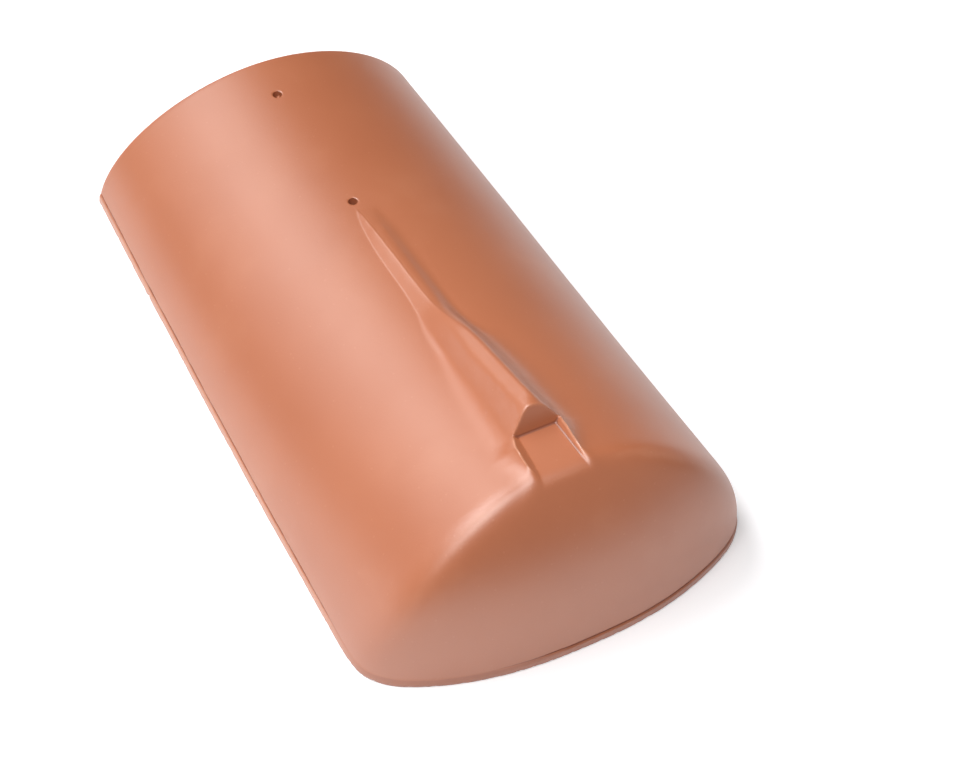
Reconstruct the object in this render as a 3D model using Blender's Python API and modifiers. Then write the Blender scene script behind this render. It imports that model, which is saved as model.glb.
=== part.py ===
"""A closed-end clay ridge tile, made as one fired shell.

The tile caps the end of a roof ridge. It is a tapering half barrel, open beneath and at its narrow
end, with a leaning closed end at its wide end. A wedge grows out of the crown behind the second
nail hole and stops in a steep face, and the flat seat in front of that face takes a ridge clip.

Metres, +Z up. The tile lies on its two long rims with its length along Y, the closed end towards -Y.
The origin is the middle of its underside.
"""

import math

import bmesh
import bpy
import numpy as np

# The barrel
LENGTH = 0.400
OPEN_HALF_WIDTH = 0.1019
END_HALF_WIDTH = 0.1155
SIDE_BOW = 0.0023
OPEN_HEIGHT = 0.0692
END_HEIGHT = 0.1164
CROWN_SWEEP = 2.06
WALL = 0.012

# Roundness of the section at the open end and at the closed end: 2 and 2 would be an ellipse
OPEN_SIDE_POWER, END_SIDE_POWER = 1.94, 2.11
OPEN_CROWN_POWER, END_CROWN_POWER = 1.76, 1.72

# The closed end leans back towards the crown and bows back towards the sides
END_LEAN = 0.0512
END_LEAN_POWER = 2.9
END_BOW = 0.0303
END_BOW_POWER = 2.46
SHOULDER_BLEND = 0.0048
CORNER_BLEND = 0.0194

# The lip left by the mould all round the rim
LIP_HEIGHT = 0.0045
LIP_PROUD = 0.0008

# Two nail holes on the crown, measured from the open end
NAIL_BORE = 0.0060
NAIL_FROM_OPEN_END = (0.0285, 0.1252)

# The wedge starts just past the second nail hole and rises evenly over the crown
WEDGE_GAP = 0.0045
WEDGE_RISE = 0.0195
WEDGE_TIP_HALF_WIDTH = 0.0013
WEDGE_TOP_HALF_WIDTH = 0.0038
WEDGE_FLANK = math.radians(56.5)
WEDGE_EDGE = 0.0012
WEDGE_LEAD = 0.04  # share of its length that it starts under the crown
WEDGE_RUN_OUT = 0.006

# The clip seat in front of the wedge's face, a little above the crown at the foot of that face
SEAT_FROM_END = 0.0682
SEAT_RISE = 0.0035
SEAT_BACK_HALF_WIDTH = 0.0110
SEAT_FRONT_HALF_WIDTH = 0.0127
SEAT_DRAFT = math.radians(50)
FACE_DRAFT = math.radians(22)

# How finely the curved surfaces are divided
ACROSS = 48
ALONG_BARREL = 11
BEFORE_SHOULDER, OVER_SHOULDER, BELOW_SHOULDER = 3, 7, 10
SHOULDER_SPAN = math.radians(8)
WEDGE_SECTIONS = 10
BORE_SIDES = 24
HALVINGS = 40
SHARP_ANGLE = math.radians(35)

# How far a shape runs past the surface that trims it, and how far sideways the end's bow is followed
OVERRUN = 0.015
BOW_REACH = 1.2

# The rows over the closed end fan out from this far behind the top of its lean
FAN_BACK = 0.030

CLAY = {"name": "fired clay", "colour": (0.52, 0.21, 0.115, 1.0), "roughness": 0.62, "metallic": 0.0}

FRONT = -LENGTH / 2 + LIP_PROUD
PIVOT = FRONT + END_LEAN + FAN_BACK
FLANK_RUN = 1 / math.tan(WEDGE_FLANK)
WEDGE_START = LENGTH / 2 - NAIL_FROM_OPEN_END[1] - NAIL_BORE / 2 - WEDGE_GAP
FACE_FOOT = -LENGTH / 2 + SEAT_FROM_END


def section_at(y):
    """Half width, crown height and the two roundness powers of the barrel's section at y."""
    share = np.clip((LENGTH / 2 - y) / LENGTH, 0, 1)
    half_width = OPEN_HALF_WIDTH + (END_HALF_WIDTH - OPEN_HALF_WIDTH) * share
    half_width = half_width + SIDE_BOW * 4 * share * (1 - share)
    height = OPEN_HEIGHT + (END_HEIGHT - OPEN_HEIGHT) * share**CROWN_SWEEP
    side_power = OPEN_SIDE_POWER + (END_SIDE_POWER - OPEN_SIDE_POWER) * share
    crown_power = OPEN_CROWN_POWER + (END_CROWN_POWER - OPEN_CROWN_POWER) * share
    return half_width, height, side_power, crown_power


def barrel_height(x, y):
    """Height of the barrel's outer surface over (x, y), as if it had no closed end."""
    half_width, height, side_power, crown_power = section_at(y)
    inside = np.maximum(1 - (np.abs(x) / half_width) ** side_power, 0)
    return float(height * inside ** (1 / crown_power))


def outside(points):
    """Above zero outside the plain tile, below zero within: the barrel blended into its closed end."""
    x, y, z = points.T
    half_width, height, side_power, crown_power = section_at(y)
    level = np.maximum(z, 0)
    ring = (np.abs(x) / half_width) ** side_power + (level / height) ** crown_power
    past_barrel = (ring - 1) * END_HALF_WIDTH / 2
    bow = END_BOW * np.minimum(np.abs(x) / END_HALF_WIDTH, BOW_REACH) ** END_BOW_POWER
    lean = END_LEAN * (level / END_HEIGHT) ** END_LEAN_POWER
    past_end = FRONT + bow + lean - y
    rise = np.clip(level / END_HEIGHT, 0, 1)
    blend = CORNER_BLEND + (SHOULDER_BLEND - CORNER_BLEND) * rise**2
    mix = np.clip(0.5 + 0.5 * (past_barrel - past_end) / blend, 0, 1)
    return past_end * (1 - mix) + past_barrel * mix + blend * mix * (1 - mix)


def meet_surface(starts, directions):
    """Where rays from inside the tile cross its plain outer surface."""
    starts, directions = np.array(starts), np.array(directions)
    near, far = np.zeros(len(starts)), np.full(len(starts), LENGTH)
    for _ in range(HALVINGS):
        middle = (near + far) / 2
        past = outside(starts + directions * middle[:, None]) > 0
        far = np.where(past, middle, far)
        near = np.where(past, near, middle)
    return starts + directions * near[:, None]


def seat_height():
    return barrel_height(0, FACE_FOOT) + SEAT_RISE


def seat_front():
    """Where the seat's floor would meet the closed end if their edge were sharp."""
    return FRONT + END_LEAN * (seat_height() / END_HEIGHT) ** END_LEAN_POWER


def end_tilts():
    """Tilts of the rows over the closed end, closest together where they cross the shoulder."""
    shoulder = math.atan2(PIVOT - seat_front(), seat_height())
    spans = [
        np.linspace(0, shoulder - SHOULDER_SPAN, BEFORE_SHOULDER + 1)[1:],
        np.linspace(shoulder - SHOULDER_SPAN, shoulder + SHOULDER_SPAN, OVER_SHOULDER + 1)[1:],
        np.linspace(shoulder + SHOULDER_SPAN, math.pi / 2, BELOW_SHOULDER + 1)[1:],
    ]
    return np.concatenate(spans)


def surface_rows():
    """Rows of points over the tile, from past the open end, along the barrel and down the closed end."""
    turns = np.linspace(0, math.pi, ACROSS + 1)
    starts, directions = [], []
    for y in [LENGTH / 2 + OVERRUN, *np.linspace(LENGTH / 2, PIVOT, ALONG_BARREL + 1)]:
        for turn in turns:
            starts.append((0, y, 0))
            directions.append((-math.cos(turn), 0, math.sin(turn)))
    for tilt in end_tilts():
        forward = PIVOT - (PIVOT - FRONT - END_LEAN) * tilt / (math.pi / 2)
        for turn in turns:
            starts.append((0, forward, 0))
            up, ahead = math.cos(tilt), math.sin(tilt)
            directions.append((-math.cos(turn), -math.sin(turn) * ahead, math.sin(turn) * up))
    return meet_surface(starts, directions).reshape(-1, ACROSS + 1, 3)


def outline_at(level):
    """The tile's outline at one height, from the open end round the closed end and back."""
    starts, directions = [], []
    barrel = [LENGTH / 2 + OVERRUN, *np.linspace(LENGTH / 2, PIVOT, ALONG_BARREL + 1)]
    for y in barrel:
        starts.append((0, y, level))
        directions.append((-1, 0, 0))
    for step in range(1, ACROSS):
        turn = math.pi * step / ACROSS
        starts.append((0, PIVOT - (PIVOT - FRONT - END_LEAN) * math.sin(turn), level))
        directions.append((-math.cos(turn), -math.sin(turn), 0))
    for y in reversed(barrel):
        starts.append((0, y, level))
        directions.append((1, 0, 0))
    return meet_surface(starts, directions)


def loft(bm, rows, closed=False):
    """Joins rows of points with quads, facing out where a row runs left to right going back to front."""
    made = [[bm.verts.new(point) for point in row] for row in rows]
    count = len(rows[0])
    for first, second in zip(made, made[1:]):
        for i in range(count if closed else count - 1):
            j = (i + 1) % count
            bm.faces.new((first[i], second[i], second[j], first[j]))
    return made


def finish(name, bm, collection, smooth=False):
    """Makes an object of the mesh; what is shaded smooth keeps its sharp edges."""
    mesh = bpy.data.meshes.new(name)
    bm.to_mesh(mesh)
    bm.free()
    if smooth:
        mesh.shade_smooth()
        mesh.set_sharp_from_angle(angle=SHARP_ANGLE)
    made = bpy.data.objects.new(name, mesh)
    collection.objects.link(made)
    return made


def helper(made):
    """A helper shapes the tile and isn't part of it."""
    made.hide_render = True
    made.display_type = "WIRE"
    return made


def make_skin(collection):
    """The plain outer skin as an open surface, with a skirt below the ground to trim."""
    bm = bmesh.new()
    rows = loft(bm, surface_rows())
    rim = [row[0] for row in rows] + rows[-1][1:-1] + [row[-1] for row in reversed(rows)]
    edges = [bm.edges.get((a, b)) for a, b in zip(rim, rim[1:])]
    grown = bmesh.ops.extrude_edge_only(bm, edges=edges)["geom"]
    for vertex in (item for item in grown if isinstance(item, bmesh.types.BMVert)):
        vertex.co.z -= OVERRUN
    return finish("ridge_tile", bm, collection, smooth=True)


def make_lip(collection):
    """A band along the rim, a little proud of the skin and half way into the wall."""
    bm = bmesh.new()
    top, foot = outline_at(LIP_HEIGHT), outline_at(0)
    foot[:, 2] = -OVERRUN
    loft(bm, [foot, top])
    bmesh.ops.reverse_faces(bm, faces=bm.faces)
    band = helper(finish("lip band", bm, collection))
    thick = band.modifiers.new("band", "SOLIDIFY")
    thick.thickness = LIP_PROUD + WALL / 2
    thick.offset = 2 * LIP_PROUD / thick.thickness - 1
    thick.use_even_offset = True
    return band


def wedge_section(y, share, sunk=0.0):
    """The wedge's outline across the tile at y: its flanks reach half way into the wall."""
    half_top = WEDGE_TIP_HALF_WIDTH + (WEDGE_TOP_HALF_WIDTH - WEDGE_TIP_HALF_WIDTH) * share
    crown = barrel_height(0, y)
    top = crown + WEDGE_RISE * share - sunk
    foot = half_top + (top - crown) * FLANK_RUN
    root = barrel_height(foot, y) - WALL / 2
    half_root = half_top + (top - root) * FLANK_RUN
    across = [(-half_root, root), (-half_top, top), (half_top, top), (half_root, root)]
    return [(x, y, z) for x, z in across] + [(0, y, crown - WALL / 2)]


def make_wedge(collection):
    """The raised wedge, running on beside the clip seat until it sinks in behind the shoulder."""
    shares = np.linspace(-WEDGE_LEAD, 1, WEDGE_SECTIONS + 1)
    rows = [wedge_section(WEDGE_START + (FACE_FOOT - WEDGE_START) * s, s) for s in shares]
    sunk_at = seat_front() + SHOULDER_BLEND
    sinks_from = sunk_at + WEDGE_RUN_OUT
    level_top = barrel_height(0, sinks_from) - barrel_height(0, FACE_FOOT)
    rows.append(wedge_section(sinks_from, 1.0, level_top))
    rows.append(wedge_section(sunk_at, 1.0, level_top + WEDGE_RISE))
    bm = bmesh.new()
    made = loft(bm, rows, closed=True)
    bm.faces.new(made[0])
    bm.faces.new(made[-1])
    bmesh.ops.recalc_face_normals(bm, faces=bm.faces)
    wedge = helper(finish("wedge", bm, collection))
    soften = wedge.modifiers.new("pressed edges", "BEVEL")
    soften.width = WEDGE_EDGE
    soften.segments = 2
    soften.limit_method = "ANGLE"
    soften.angle_limit = math.radians(40)
    return wedge


def make_seat_cutter(collection):
    """Cuts the clip seat: a flat floor, drafted sides and, behind, the wedge's leaning face."""
    floor = seat_height()
    top = barrel_height(0, FACE_FOOT) + WEDGE_RISE + OVERRUN
    tall = top - floor
    spread = tall / math.tan(SEAT_DRAFT)
    front = FRONT - OVERRUN
    widen = (SEAT_FRONT_HALF_WIDTH - SEAT_BACK_HALF_WIDTH) / (FACE_FOOT - FRONT - END_LEAN)
    front_half = SEAT_BACK_HALF_WIDTH + widen * (FACE_FOOT - front)
    bm = bmesh.new()
    bmesh.ops.create_cube(bm, size=2)
    for vertex in bm.verts:
        side, back, high = (1 if value > 0 else -1 for value in vertex.co)
        half = SEAT_BACK_HALF_WIDTH if back > 0 else front_half
        y = FACE_FOOT + (tall * math.tan(FACE_DRAFT) if high > 0 else 0) if back > 0 else front
        z = top if high > 0 else floor
        vertex.co = (side * (half + (spread if high > 0 else 0)), y, z)
    return helper(finish("clip seat cutter", bm, collection))


def make_nail_cutter(name, from_open_end, collection):
    y = LENGTH / 2 - from_open_end
    crown = barrel_height(0, y)
    bm = bmesh.new()
    bmesh.ops.create_cone(
        bm,
        cap_ends=True,
        segments=BORE_SIDES,
        radius1=NAIL_BORE / 2,
        radius2=NAIL_BORE / 2,
        depth=WALL + 2 * OVERRUN,
    )
    cutter = helper(finish(name, bm, collection))
    cutter.location = (0, y, crown - WALL / 2)
    return cutter


def make_trim(collection):
    """All that stands on the ground and short of the open end: what lies outside is cut away."""
    bm = bmesh.new()
    bmesh.ops.create_cube(bm, size=2)
    half_width = max(OPEN_HALF_WIDTH, END_HALF_WIDTH) + SIDE_BOW + 2 * OVERRUN
    height = max(OPEN_HEIGHT, END_HEIGHT) + WEDGE_RISE + 2 * OVERRUN
    for vertex in bm.verts:
        side, back, high = (1 if value > 0 else -1 for value in vertex.co)
        y = LENGTH / 2 if back > 0 else -LENGTH / 2 - 2 * OVERRUN
        vertex.co = (side * half_width, y, height if high > 0 else 0)
    return helper(finish("trim block", bm, collection))


def combine(made, label, operation, other):
    step = made.modifiers.new(label, "BOOLEAN")
    step.operation = operation
    step.solver = "EXACT"
    step.object = other


def fired_clay():
    material = bpy.data.materials.new(CLAY["name"])
    material.use_nodes = True
    shader = material.node_tree.nodes["Principled BSDF"]
    shader.inputs["Base Color"].default_value = CLAY["colour"]
    shader.inputs["Roughness"].default_value = CLAY["roughness"]
    shader.inputs["Metallic"].default_value = CLAY["metallic"]
    material.diffuse_color = CLAY["colour"]
    return material


def new_collection(name):
    made = bpy.data.collections.new(name)
    bpy.context.scene.collection.children.link(made)
    return made


def main():
    for leftover in list(bpy.data.objects):
        bpy.data.objects.remove(leftover, do_unlink=True)
    tiles, cutters = new_collection("ridge tile"), new_collection("cutters")
    tile = make_skin(tiles)
    tile.data.materials.append(fired_clay())
    wall = tile.modifiers.new("wall", "SOLIDIFY")
    wall.thickness = WALL
    wall.offset = -1
    wall.use_even_offset = True
    combine(tile, "lip", "UNION", make_lip(cutters))
    combine(tile, "wedge", "UNION", make_wedge(cutters))
    combine(tile, "clip seat", "DIFFERENCE", make_seat_cutter(cutters))
    for number, from_open_end in enumerate(NAIL_FROM_OPEN_END, start=1):
        name = f"nail hole {number}"
        combine(tile, name, "DIFFERENCE", make_nail_cutter(name + " cutter", from_open_end, cutters))
    combine(tile, "flat rims", "INTERSECT", make_trim(cutters))


main()
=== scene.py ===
# %% [markdown]
# # A closed-end ridge tile in fired clay
#
# The tile that starts a roof ridge is one pressed and fired shell: a half barrel that widens and rises
# towards a closed end. On its crown a wedge grows out behind the second nail hole, ends in a steep face,
# and leaves a flat seat in front of that face for a clip. This lesson makes the fine surface of that
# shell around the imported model, then its clay, then a plain studio.
#
# We begin with the frame, which gives the true size and place of the tile, and keep its box.

import math

import bmesh
import bpy
from mathutils import Matrix, Vector, noise as blender_noise


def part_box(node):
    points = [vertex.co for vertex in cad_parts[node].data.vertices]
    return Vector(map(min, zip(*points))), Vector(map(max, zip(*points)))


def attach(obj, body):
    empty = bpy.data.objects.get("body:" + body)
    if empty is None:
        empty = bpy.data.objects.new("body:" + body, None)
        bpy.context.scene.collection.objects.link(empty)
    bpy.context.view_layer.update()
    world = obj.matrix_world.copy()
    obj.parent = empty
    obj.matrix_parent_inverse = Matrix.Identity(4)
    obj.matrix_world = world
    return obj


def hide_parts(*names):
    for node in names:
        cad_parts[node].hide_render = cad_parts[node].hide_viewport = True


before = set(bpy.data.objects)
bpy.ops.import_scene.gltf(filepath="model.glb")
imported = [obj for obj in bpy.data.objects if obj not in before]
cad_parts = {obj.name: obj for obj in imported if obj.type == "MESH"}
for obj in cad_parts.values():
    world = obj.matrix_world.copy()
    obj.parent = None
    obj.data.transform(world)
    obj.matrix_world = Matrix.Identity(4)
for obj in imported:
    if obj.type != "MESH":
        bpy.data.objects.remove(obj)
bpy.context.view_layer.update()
LOW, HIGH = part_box("ridge_tile")
LENGTH = HIGH.y - LOW.y
print(f"tile {1000 * (HIGH.x - LOW.x):.1f} x {1000 * LENGTH:.1f} x {1000 * (HIGH.z - LOW.z):.1f} mm")

# %% [markdown]
# ## The sizes of the tile
#
# A mould maker draws such a tile from a handful of sizes: its section at each end, the lean and bow of
# the closed end, and the small features on the crown. Everything below is worked out from them. Lengths
# are in metres. The powers say how round a section is, where 2 would be an ellipse.

# %% Name the sizes
BARREL = {
    "Length": LENGTH,
    "Open half width": 0.1019,
    "End half width": 0.1155,
    "Side bow": 0.0023,
    "Open height": 0.0692,
    "End height": 0.1164,
    "Crown sweep": 2.06,
    "Open side power": 1.94,
    "End side power": 2.11,
    "Open crown power": 1.76,
    "End crown power": 1.72,
    "End lean": 0.0512,
    "End lean power": 2.9,
    "End bow": 0.0303,
    "End bow power": 2.46,
    "Shoulder blend": 0.0072,
    "Corner blend": 0.0291,
    "Lip proud": 0.0008,
    "Inset": 0.0,
}
WALL = 0.012
NAILS = {"Bore": 0.0054, "First": 0.0285, "Second": 0.1252}
WEDGE_GAP = 0.0020
SEAT_FROM_END = 0.0682
WEDGE = {
    "Wedge start": LENGTH / 2 - NAILS["Second"] - NAILS["Bore"] / 2 - WEDGE_GAP,
    "Face foot": -LENGTH / 2 + SEAT_FROM_END,
    "Wedge rise": 0.0195,
    "Seat rise": 0.0035,
    "Lip height": 0.0058,
    "Unevenness": 1.0,
}
SIZES = {**BARREL, **WEDGE, **NAILS}
print(f"{len(SIZES)} sizes, wedge from y {WEDGE['Wedge start']:.4f} to {WEDGE['Face foot']:.4f}")

# %% [markdown]
# ## Writing sums as nodes
#
# A Geometry Nodes tree that follows a rule needs many Math nodes. Drawing them one by one hides the rule,
# so a small class lets us write `a * b + c` in the script and have the nodes made for us. It adds nothing
# new: each sign makes the Math node of the same name.

# %% Numbers that make Math nodes
class Number:
    """A number flowing through a node tree."""

    def __init__(self, tree, socket):
        self.tree, self.socket = tree, socket

    def __add__(self, other):
        return maths("ADD", self, other)

    def __radd__(self, other):
        return maths("ADD", other, self)

    def __sub__(self, other):
        return maths("SUBTRACT", self, other)

    def __rsub__(self, other):
        return maths("SUBTRACT", other, self)

    def __mul__(self, other):
        return maths("MULTIPLY", self, other)

    def __rmul__(self, other):
        return maths("MULTIPLY", other, self)

    def __truediv__(self, other):
        return maths("DIVIDE", self, other)

    def __rtruediv__(self, other):
        return maths("DIVIDE", other, self)

    def __pow__(self, other):
        return maths("POWER", self, other)

    def __neg__(self):
        return maths("MULTIPLY", self, -1.0)


def connect(tree, value, slot):
    if isinstance(value, Number):
        tree.links.new(value.socket, slot)
    else:
        slot.default_value = value


def maths(operation, *values):
    tree = next(value.tree for value in values if isinstance(value, Number))
    node = tree.nodes.new("ShaderNodeMath")
    node.operation = operation
    for value, slot in zip(values, node.inputs):
        connect(tree, value, slot)
    return Number(tree, node.outputs[0])


def smaller(a, b, blend=0.0):
    return maths("SMOOTH_MIN", a, b, blend)


def larger(a, b, blend=0.0):
    return maths("SMOOTH_MAX", a, b, blend)


def step_up(value, low, high):
    """0 below low, 1 above high and a soft step between."""
    node = value.tree.nodes.new("ShaderNodeMapRange")
    node.interpolation_type = "SMOOTHSTEP"
    for given, name in ((value, "Value"), (low, "From Min"), (high, "From Max")):
        connect(value.tree, given, node.inputs[name])
    return Number(value.tree, node.outputs["Result"])


def noise(tree, point, scale, detail, seed):
    """Smooth random hills and hollows between -0.5 and 0.5."""
    node = tree.nodes.new("ShaderNodeTexNoise")
    node.noise_dimensions = "4D"
    connect(tree, scale, node.inputs["Scale"])
    node.inputs["Detail"].default_value = detail
    node.inputs["W"].default_value = seed
    tree.links.new(point, node.inputs["Vector"])
    return Number(tree, node.outputs[0]) - 0.5


def hills(tree, point, kind):
    """Noise with a height, from one of the named kinds: scale, detail, seed and height."""
    scale, detail, seed, height = kind
    return noise(tree, point, scale, detail, seed) * height


def coordinates(tree, point):
    """The x, y and z of a point as numbers."""
    node = tree.nodes.new("ShaderNodeSeparateXYZ")
    tree.links.new(point, node.inputs[0])
    return [Number(tree, socket) for socket in node.outputs]


def from_nail(x, y, half_length, nail):
    """How far a point lies from the middle of a nail's hole, seen from above."""
    return maths("SQRT", x * x + (y - half_length + nail) ** 2)


# %% [markdown]
# ## The rule of the form
#
# The whole outside of the tile is one rule that says of any point whether it lies outside the clay, above
# zero, or within it, below zero. The barrel and the closed end are two such rules, and taking the larger
# with a soft blend rounds the shoulder where they meet. The wedge joins with a soft "smaller", which gives
# the fillet at its foot, and the seat is taken away again with a "larger".

# %% The barrel and its closed end
BOW_LIMIT = 1.2


def plain_tile(x, y, z, size):
    half_length = size["Length"] / 2
    share = maths("MINIMUM", larger((half_length - y) / size["Length"], 0.0), 1.0)
    half_width = size["Open half width"] + (size["End half width"] - size["Open half width"]) * share
    half_width = half_width + size["Side bow"] * 4 * share * (1 - share) - size["Inset"]
    height = crown_height(share, size) - size["Inset"]
    side = size["Open side power"] + (size["End side power"] - size["Open side power"]) * share
    crown = size["Open crown power"] + (size["End crown power"] - size["Open crown power"]) * share
    level = larger(z, 0.0)
    across = maths("ABSOLUTE", x)
    ring = (across / half_width) ** side + (level / height) ** crown
    past_barrel = (ring - 1) * size["End half width"] / 2
    reach = maths("MINIMUM", across / size["End half width"], BOW_LIMIT)
    bow = size["End bow"] * reach ** size["End bow power"]
    lean_power = size["End lean power"]
    lean = size["End lean"] * (level / size["End height"]) ** lean_power
    slope = size["End lean"] * lean_power / size["End height"]
    slope = slope * (level / size["End height"]) ** (lean_power - 1)
    through = size["Inset"] * maths("SQRT", 1 + slope * slope)
    past_end = size["Lip proud"] + through - half_length + bow + lean - y
    rise = maths("MINIMUM", level / size["End height"], 1.0)
    blend = size["Corner blend"] + (size["Shoulder blend"] - size["Corner blend"]) * rise * rise
    return larger(past_barrel, past_end, blend)


def crown_height(share, size):
    return size["Open height"] + (size["End height"] - size["Open height"]) * share ** size["Crown sweep"]


# %% [markdown]
# The wedge starts as a low ridge behind the nail hole, flat on its left flank and rounded on its right.
# Past the middle it climbs, its flanks stand steeper and its top opens to a facet that tilts to the left.
# It keeps its height beside the seat, where its flanks become the rims of the tray, and sinks before the
# shoulder.
#
# Places along the wedge run from 0 at its tip to 1 at the foot of its steep face. A pair of numbers says
# where a change begins and where it is complete. A run is how far a flank goes sideways for each metre
# that it falls, so a large run is a flat flank.

# %% The top of the wedge
MAIN_PART = (0.42, 0.64)
TIP_DROP = 5
TIP_STEP, TIP_STEP_AT = 0.0007, (0.0, 0.06)
DIP_DEPTH, DIP_BEGINS, DIP_ENDS = 0.0041, (0.10, 0.46), (0.44, 0.62)
CREST_HALF = 0.0003
FACET_HALF, FACET_OPENS = 0.0036, (0.42, 0.70)
NICK_X, NICK_Y = 0.0017, 0.0463
NICK_HALF, NICK_EDGE = 0.0010, (0.0015, 0.0055)


def wedge_top(along, crown, size):
    """The height of the ridge: a blunt tip, then a dip below the straight climb before the main part."""
    climb = maths("MINIMUM", along, 1.0) - larger(-along, 0.0) * TIP_DROP
    blunt = TIP_STEP * step_up(along, *TIP_STEP_AT)
    dip = DIP_DEPTH * step_up(along, *DIP_BEGINS) * (1 - step_up(along, *DIP_ENDS))
    return crown + size["Wedge rise"] * climb + blunt - dip


def half_width_of_top(x, y, along):
    """Half the width of the wedge's top: a thin crest, then the facet, and one wider nick."""
    nick = maths("SQRT", (x - NICK_X) ** 2 + (y - NICK_Y) ** 2)
    crest = CREST_HALF + FACET_HALF * step_up(along, *FACET_OPENS)
    return crest + NICK_HALF * (1 - step_up(nick, *NICK_EDGE))


# %% The flanks of the wedge
CREST_TURN = (-0.0015, 0.0015)
LEFT_RUN, LEFT_STEEPER = 1.42, 0.80
RIGHT_RUN, RIGHT_STEEPER, RIGHT_STEEPENS = 0.86, 0.16, (0.72, 1.0)
ROUND_REACH, ROUND_RISE, ROUND_SLOPE = 0.0090, 0.0005, 0.83
LEFT_RIM_SWELL, LEFT_RIM_SWELLS, LEFT_RIM_FADES = 0.0034, (-0.002, 0.008), (0.012, 0.034)
RIGHT_RIM_SWELL, RIGHT_RIM_SWELLS = 0.0004, (-0.004, 0.002)
RIGHT_RIM_SINK, RIGHT_RIM_SINKS = 0.0036, (0.004, 0.026)


def wedge_flanks(side, z, top, crown, along, half_top, flare):
    """Straight flanks, but for the right one of the low ridge, which is round."""
    main = step_up(along, *MAIN_PART)
    right = step_up(side, *CREST_TURN)
    left_run = LEFT_RUN - LEFT_STEEPER * main
    right_run = RIGHT_RUN - RIGHT_STEEPER * step_up(along, *RIGHT_STEEPENS)
    run = left_run + (right_run - left_run) * right
    straight = maths("ABSOLUTE", side) - half_top - flare - (top - z) * run
    straight = straight / maths("SQRT", 1 + run * run)
    past = larger(side - half_top, 0.0) / ROUND_REACH
    rounded = (z - top + larger(top - crown, ROUND_RISE) * past * past) * ROUND_SLOPE
    return straight + (rounded - straight) * right * (1 - main)


def rim_flare(beside, right):
    """Beside the seat the left rim swells and fades, and the right one sinks towards the shoulder."""
    left_rim = (step_up(beside, *LEFT_RIM_SWELLS) - step_up(beside, *LEFT_RIM_FADES)) * LEFT_RIM_SWELL
    right_rim = step_up(beside, *RIGHT_RIM_SWELLS) * RIGHT_RIM_SWELL
    right_rim = right_rim - step_up(beside, *RIGHT_RIM_SINKS) * RIGHT_RIM_SINK
    return left_rim * (1 - right) + right_rim * right


# %% Join the wedge to the tile
MIDDLE = (-0.002, 0.002)
CREST_SHIFT = 0.0010
BEFORE_FACE = (-0.018, 0.0)
FACET_TILT = 0.30
FACE_FALL, FACE_FALL_FROM = 0.30, 0.0035
CREST_ROUND, MAIN_ROUND, FACE_ROUND = 0.0022, 0.0010, 0.0040
ROOT, ROOT_DEEPER, ROOT_DEEPENS = 0.003, 0.009, (0.0, 0.3)
FRONT_GAP, FRONT_SLOPE, FRONT_ROUND = 0.0035, 0.7, 0.006
TIP_FILLET, MAIN_FILLET, MAIN_FILLET_GROWS = 0.0006, 0.0110, (0.4, 0.9)
VALLEY_FILLET, VALLEY_SIDE, VALLEY_BEGINS = 0.0050, (0.0010, 0.0045), (0.03, 0.15)


def add_wedge(tile, x, y, z, size, wander):
    """Joins the wedge to the tile, with a fillet that grows from its tip to its main part."""
    start, foot = size["Wedge start"], size["Face foot"]
    along = (start - y) / (start - foot)
    beside = foot - y
    share = maths("MINIMUM", larger(0.5 - maths("MAXIMUM", y, foot) / size["Length"], 0.0), 1.0)
    crown = crown_height(share, size)
    top = wedge_top(along, crown, size)
    main = step_up(along, *MAIN_PART)
    side = x + CREST_SHIFT * (1 - main) + wander
    near_face = step_up(beside, *BEFORE_FACE)
    half_top = half_width_of_top(x, y, along)
    flare = rim_flare(beside, step_up(x, *MIDDLE))
    flank = wedge_flanks(side, z, top, crown, along, half_top, flare)
    tilt = side * FACET_TILT * main * (1 - near_face)
    fall = larger(x + FACE_FALL_FROM, 0.0) * near_face * FACE_FALL
    softness = CREST_ROUND + MAIN_ROUND * main + FACE_ROUND * near_face
    body = larger(z - top - tilt + fall, flank, softness)
    body = larger(body, crown - ROOT - ROOT_DEEPER * step_up(along, *ROOT_DEEPENS) - z)
    body = larger(body, (seat_front(size) + FRONT_GAP - y) * FRONT_SLOPE, FRONT_ROUND)
    grown = step_up(along, *MAIN_FILLET_GROWS)
    valley = step_up(x, *VALLEY_SIDE) * step_up(along, *VALLEY_BEGINS) * (1 - grown)
    return smaller(tile, body, TIP_FILLET + VALLEY_FILLET * valley + MAIN_FILLET * grown)


# %% [markdown]
# The seat is a tray for the clip: a flat floor, two leaning walls and, at its back, the steep face of the
# wedge. Taking the larger of the tile and three planes cuts it, as a tool presses it into the clay, and
# leaves a fine burr along its rims.

# %% Cut the clip seat
SEAT_HALF, SEAT_WIDENS = 0.0110, 0.060
WALL_LEAN, RIGHT_WALL_STEEPER = 1.5, 0.75
FACE_LEAN, FACE_SCALE = 0.404, 0.927
FLOOR_ROUND, FACE_FOOT_ROUND = 0.0006, 0.0012
BURR_WIDTH, BURR_HEIGHT = 0.0006, 0.00022
BURR_SIDE, BURR_BEGINS, BURR_ENDS = (0.0105, 0.0120), (-0.001, 0.001), (0.024, 0.030)
RIM_ROUND = 0.0006
OPEN_ROUND, OPEN_ROUND_GROWS = 0.0050, (0.018, 0.030)
HIGH_ROUND, HIGH_ROUND_GROWS = 0.0012, (0.006, 0.013)


def seat_height(size):
    share = (size["Length"] / 2 - size["Face foot"]) / size["Length"]
    return crown_height(share, size) + size["Seat rise"]


def seat_front(size):
    """Where the closed end's slope passes the height of the seat."""
    lean = size["End lean"] * (seat_height(size) / size["End height"]) ** size["End lean power"]
    return size["Lip proud"] - size["Length"] / 2 + lean


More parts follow.
